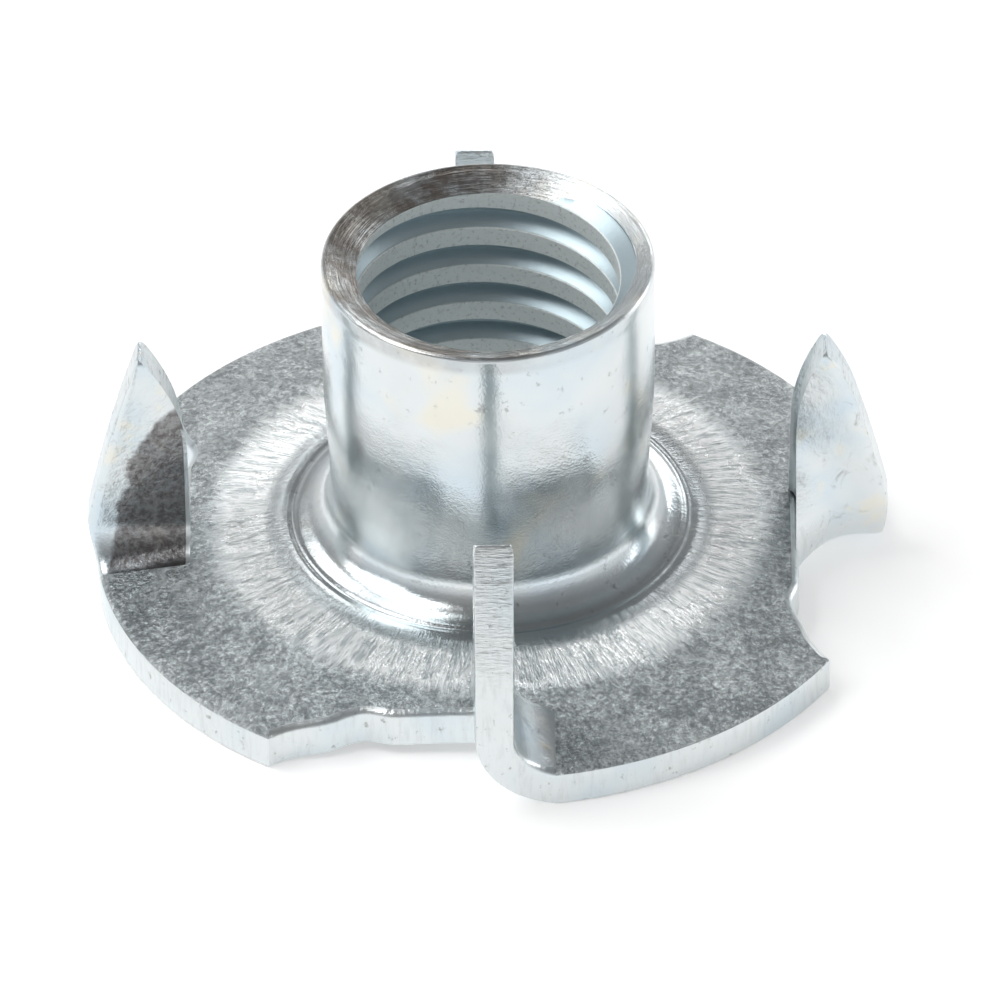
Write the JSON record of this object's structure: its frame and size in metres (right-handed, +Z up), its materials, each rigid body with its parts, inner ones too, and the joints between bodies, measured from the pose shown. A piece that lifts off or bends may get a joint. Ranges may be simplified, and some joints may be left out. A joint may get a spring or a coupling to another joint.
{
  "type": "tee nut",
  "caption": "Stamped steel tee nut: threaded barrel drawn up from a round domed flange, with pronged rim for driving into wood.",
  "frame": {"origin": "middle of the flange's underside, in the plane that the flange rests on", "axes": "+Z up the barrel, the way the prongs point; the first prong stands on +X"},
  "size_m": [0.022, 0.022, 0.0103],
  "materials": {
    "zinc_plated_steel": "bright zinc plate over stamped sheet steel, fine draw marks and a mottled flange"
  },
  "bodies": {
    "root": {"tee_nut": "zinc_plated_steel"}
  },
  "joints": []
}
